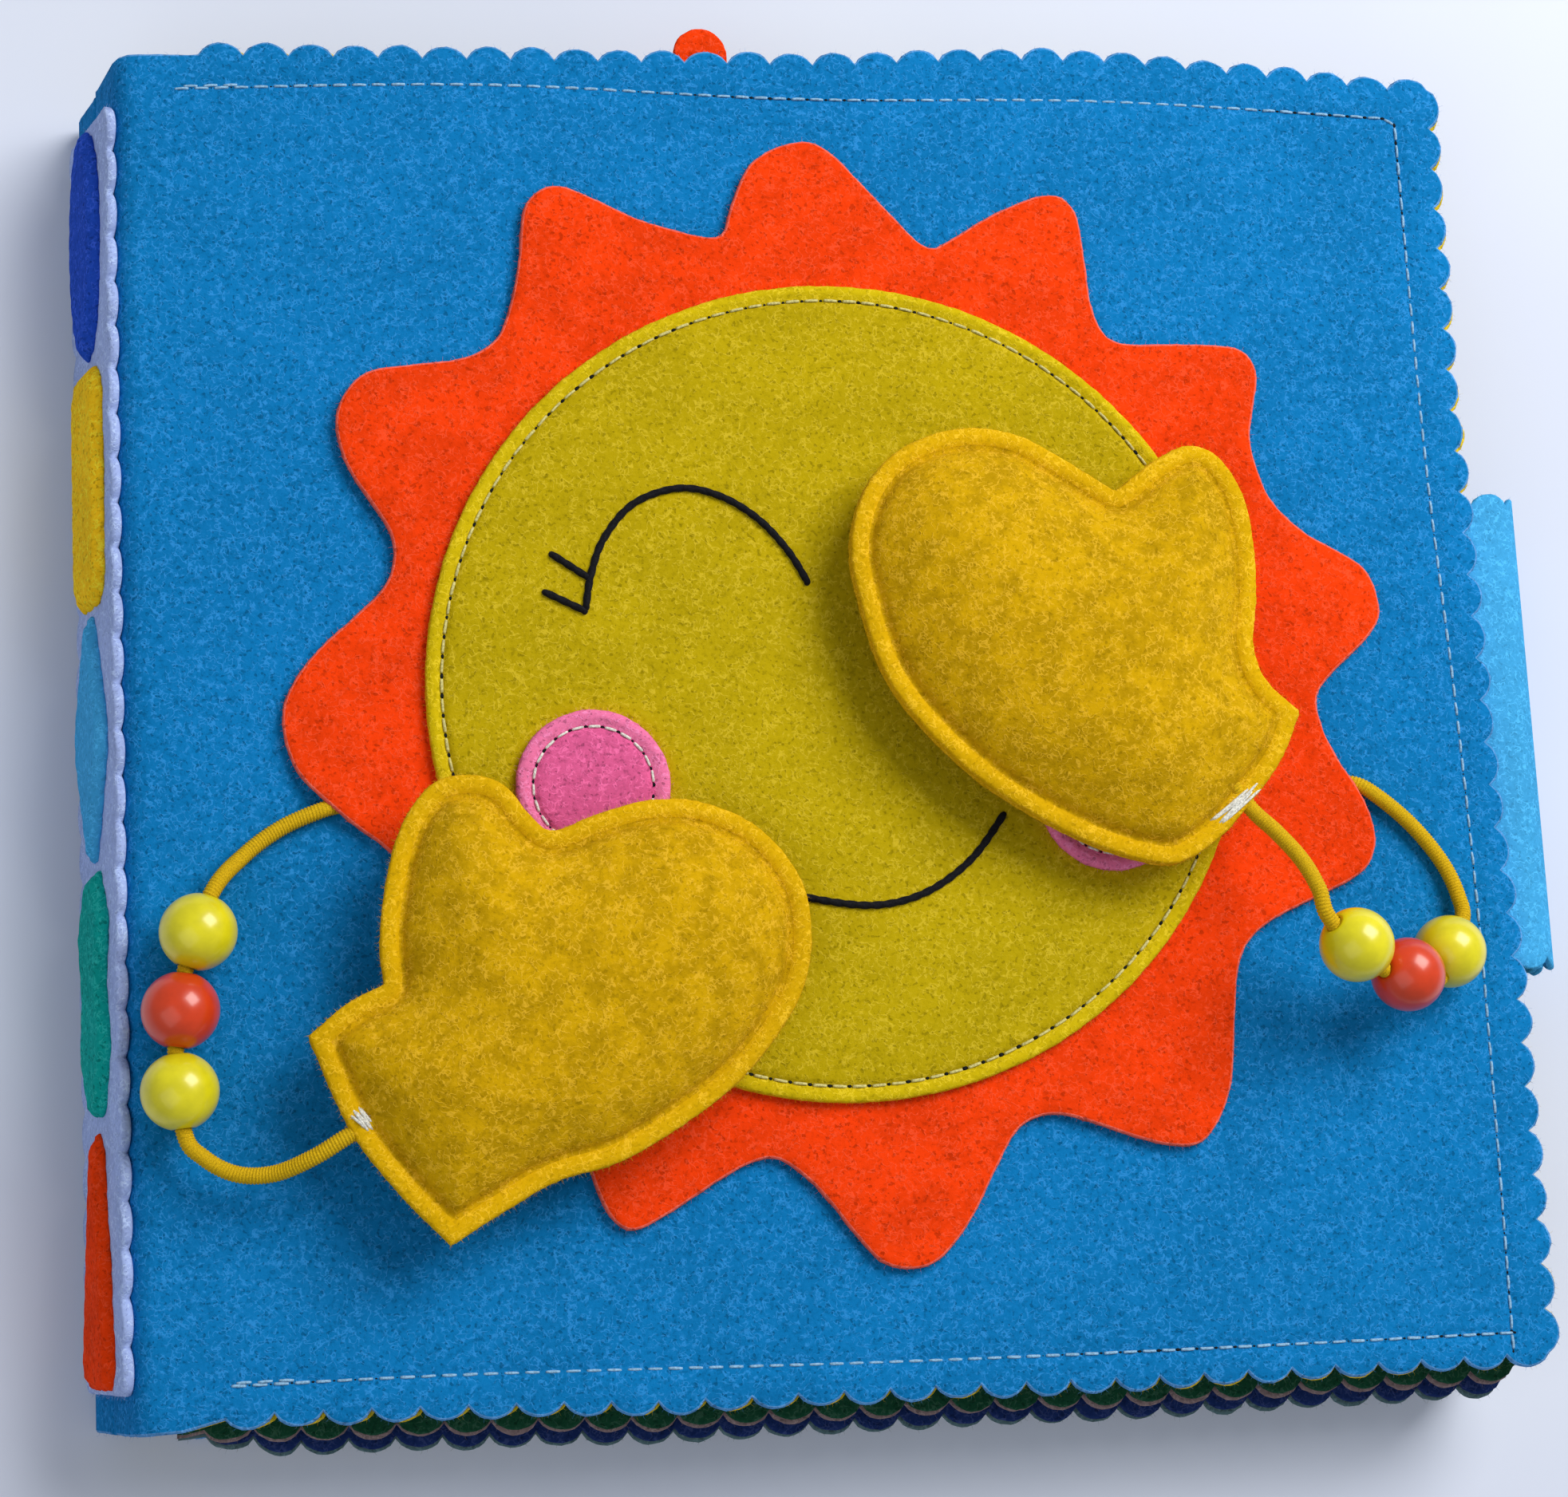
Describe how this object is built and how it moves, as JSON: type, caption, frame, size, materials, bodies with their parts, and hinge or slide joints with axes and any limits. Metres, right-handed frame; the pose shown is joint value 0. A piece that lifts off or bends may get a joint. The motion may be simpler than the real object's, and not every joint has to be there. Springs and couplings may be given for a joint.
{
  "type": "quiet book",
  "caption": "Closed felt quiet book: padded cover with a smiling sun, stuffed mittens on beaded cord arms, scalloped edges, turning leaves and a closing tab.",
  "frame": {"origin": "middle of the footprint at the height of the back cover's outer face", "axes": "+X from the spine to the fore-edge, +Y to the top of the cover, +Z out of the front cover"},
  "size_m": [0.239, 0.2322, 0.0499],
  "materials": {
    "blue_felt": "matt needle felt",
    "lining_felt": "matt needle felt",
    "board": "plain stiffener sheet",
    "lilac_felt": "matt needle felt",
    "royal_felt": "matt needle felt",
    "golden_felt": "matt needle felt",
    "sky_felt": "matt needle felt",
    "teal_felt": "matt needle felt",
    "orange_felt": "matt needle felt",
    "green_felt": "matt needle felt",
    "mauve_felt": "matt needle felt",
    "navy_felt": "matt needle felt",
    "grey_teal_felt": "matt needle felt",
    "mint_felt": "matt needle felt",
    "pale_felt": "matt needle felt",
    "face_felt": "matt needle felt",
    "pink_felt": "matt needle felt",
    "mitten_felt": "matt needle felt",
    "wadding": "soft white polyester wadding",
    "black_thread": "twisted stranded cotton, slight sheen",
    "cord": "elastic cord with a fine wound cover",
    "bead_yellow": "glossy painted bead",
    "bead_orange": "glossy painted bead",
    "fastener": "hook and loop tape"
  },
  "bodies": {
    "back_cover": {"back_cover_felt": "blue_felt", "back_cover_board": "board", "back_cover_lining": "lining_felt", "closure_lip": "sky_felt", "closure_loop_patch": "fastener"},
    "spine": {"spine_felt": "blue_felt", "spine_lining": "lining_felt", "spine_strip": "lilac_felt", "spine_oval": "royal_felt", "spine_block": "golden_felt", "spine_diamond": "sky_felt", "spine_pebble": "teal_felt", "spine_wedge": "orange_felt", "leaf_1_binding": "green_felt", "leaf_2_binding": "navy_felt", "leaf_3_binding": "mint_felt"},
    "leaf_1": {"leaf_1_front": "green_felt", "leaf_1_wadding": "wadding", "leaf_1_back": "mauve_felt"},
    "leaf_2": {"leaf_2_front": "navy_felt", "leaf_2_wadding": "wadding", "leaf_2_back": "grey_teal_felt", "page_tab": "orange_felt"},
    "leaf_3": {"leaf_3_front": "mint_felt", "leaf_3_wadding": "wadding", "leaf_3_back": "pale_felt"},
    "front_cover": {"front_cover_felt": "blue_felt", "front_cover_board": "board", "front_cover_lining": "lining_felt", "sun_rays": "orange_felt", "sun_face": "face_felt", "cheek_left": "pink_felt", "cheek_right": "pink_felt", "smile": "black_thread", "eye_left": "black_thread", "eye_left_lash_1": "black_thread", "eye_left_lash_2": "black_thread", "eye_right": "black_thread", "eye_right_lash_1": "black_thread", "eye_right_lash_2": "black_thread", "arm_cord_left": "cord", "arm_cord_right": "cord", "closure_tab_root": "sky_felt"},
    "closure_tab": {"closure_tab_outer": "sky_felt", "closure_tab_lining": "sky_felt", "closure_hook_patch": "fastener"},
    "left_mitten": {"left_mitten_front": "mitten_felt", "left_mitten_filling": "wadding", "left_mitten_back": "mitten_felt"},
    "right_mitten": {"right_mitten_front": "mitten_felt", "right_mitten_filling": "wadding", "right_mitten_back": "mitten_felt"},
    "bead_left_1": {"bead_left_1": "bead_yellow"},
    "bead_left_2": {"bead_left_2": "bead_orange"},
    "bead_left_3": {"bead_left_3": "bead_yellow"},
    "bead_right_1": {"bead_right_1": "bead_yellow"},
    "bead_right_2": {"bead_right_2": "bead_orange"},
    "bead_right_3": {"bead_right_3": "bead_yellow"}
  },
  "joints": [
    {"name": "spine_fold", "type": "hinge", "parent": "back_cover", "child": "spine", "pos_m": [-0.11739, 0, 0.00075], "axis": [0, -1, 0], "range_deg": [0, 90]},
    {"name": "front_cover_fold", "type": "hinge", "parent": "spine", "child": "front_cover", "pos_m": [-0.10939, 0, 0.02615], "axis": [0, -1, 0], "range_deg": [0, 90]},
    {"name": "leaf_1_turn", "type": "hinge", "parent": "spine", "child": "leaf_1", "pos_m": [-0.10339, 0, 0.01905], "axis": [0, -1, 0], "range_deg": [0, 72]},
    {"name": "leaf_2_turn", "type": "hinge", "parent": "spine", "child": "leaf_2", "pos_m": [-0.10339, 0, 0.01345], "axis": [0, -1, 0], "range_deg": [0, 30]},
    {"name": "leaf_3_turn", "type": "hinge", "parent": "spine", "child": "leaf_3", "pos_m": [-0.10339, 0, 0.00785], "axis": [0, -1, 0], "range_deg": [0, 10]},
    {"name": "closure_tab_lift", "type": "hinge", "parent": "front_cover", "child": "closure_tab", "pos_m": [0.11301, 0, 0.0251], "axis": [0, -1, 0], "range_deg": [0, 120]},
    {"name": "left_mitten_lift", "type": "hinge", "parent": "front_cover", "child": "left_mitten", "pos_m": [-0.07819, -0.06671, 0.04025], "axis": [0.53, -0.848, 0], "range_deg": [0, 110]},
    {"name": "right_mitten_lift", "type": "hinge", "parent": "front_cover", "child": "right_mitten", "pos_m": [0.06258, -0.02182, 0.04025], "axis": [0.6801, 0.7331, 0], "range_deg": [0, 110]},
    {"name": "bead_left_1_spin", "type": "hinge", "parent": "front_cover", "child": "bead_left_1", "pos_m": [-0.09979, -0.03577, 0.0331], "axis": [-0.3337, -0.9427, 0], "continuous": true},
    {"name": "bead_left_2_spin", "type": "hinge", "parent": "front_cover", "child": "bead_left_2", "pos_m": [-0.10259, -0.04738, 0.0331], "axis": [-0.1333, -0.9911, 0], "continuous": true},
    {"name": "bead_left_3_spin", "type": "hinge", "parent": "front_cover", "child": "bead_left_3", "pos_m": [-0.10289, -0.05933, 0.0331], "axis": [0.083, -0.9965, 0], "continuous": true},
    {"name": "bead_right_1_spin", "type": "hinge", "parent": "front_cover", "child": "bead_right_1", "pos_m": [0.09631, -0.04534, 0.03314], "axis": [-0.5568, -0.717, 0.4195], "continuous": true},
    {"name": "bead_right_2_spin", "type": "hinge", "parent": "front_cover", "child": "bead_right_2", "pos_m": [0.08663, -0.04923, 0.0392], "axis": [-0.8686, 0.1474, 0.4731], "continuous": true},
    {"name": "bead_right_3_spin", "type": "hinge", "parent": "front_cover", "child": "bead_right_3", "pos_m": [0.07671, -0.04473, 0.0442], "axis": [-0.7411, 0.58, 0.3383], "continuous": true}
  ],
  "couplings": [
    {"joint": "leaf_1_turn", "follows": "front_cover_fold", "ratio": 0.8},
    {"joint": "leaf_2_turn", "follows": "front_cover_fold", "ratio": 0.3333},
    {"joint": "leaf_3_turn", "follows": "front_cover_fold", "ratio": 0.1111}
  ]
}
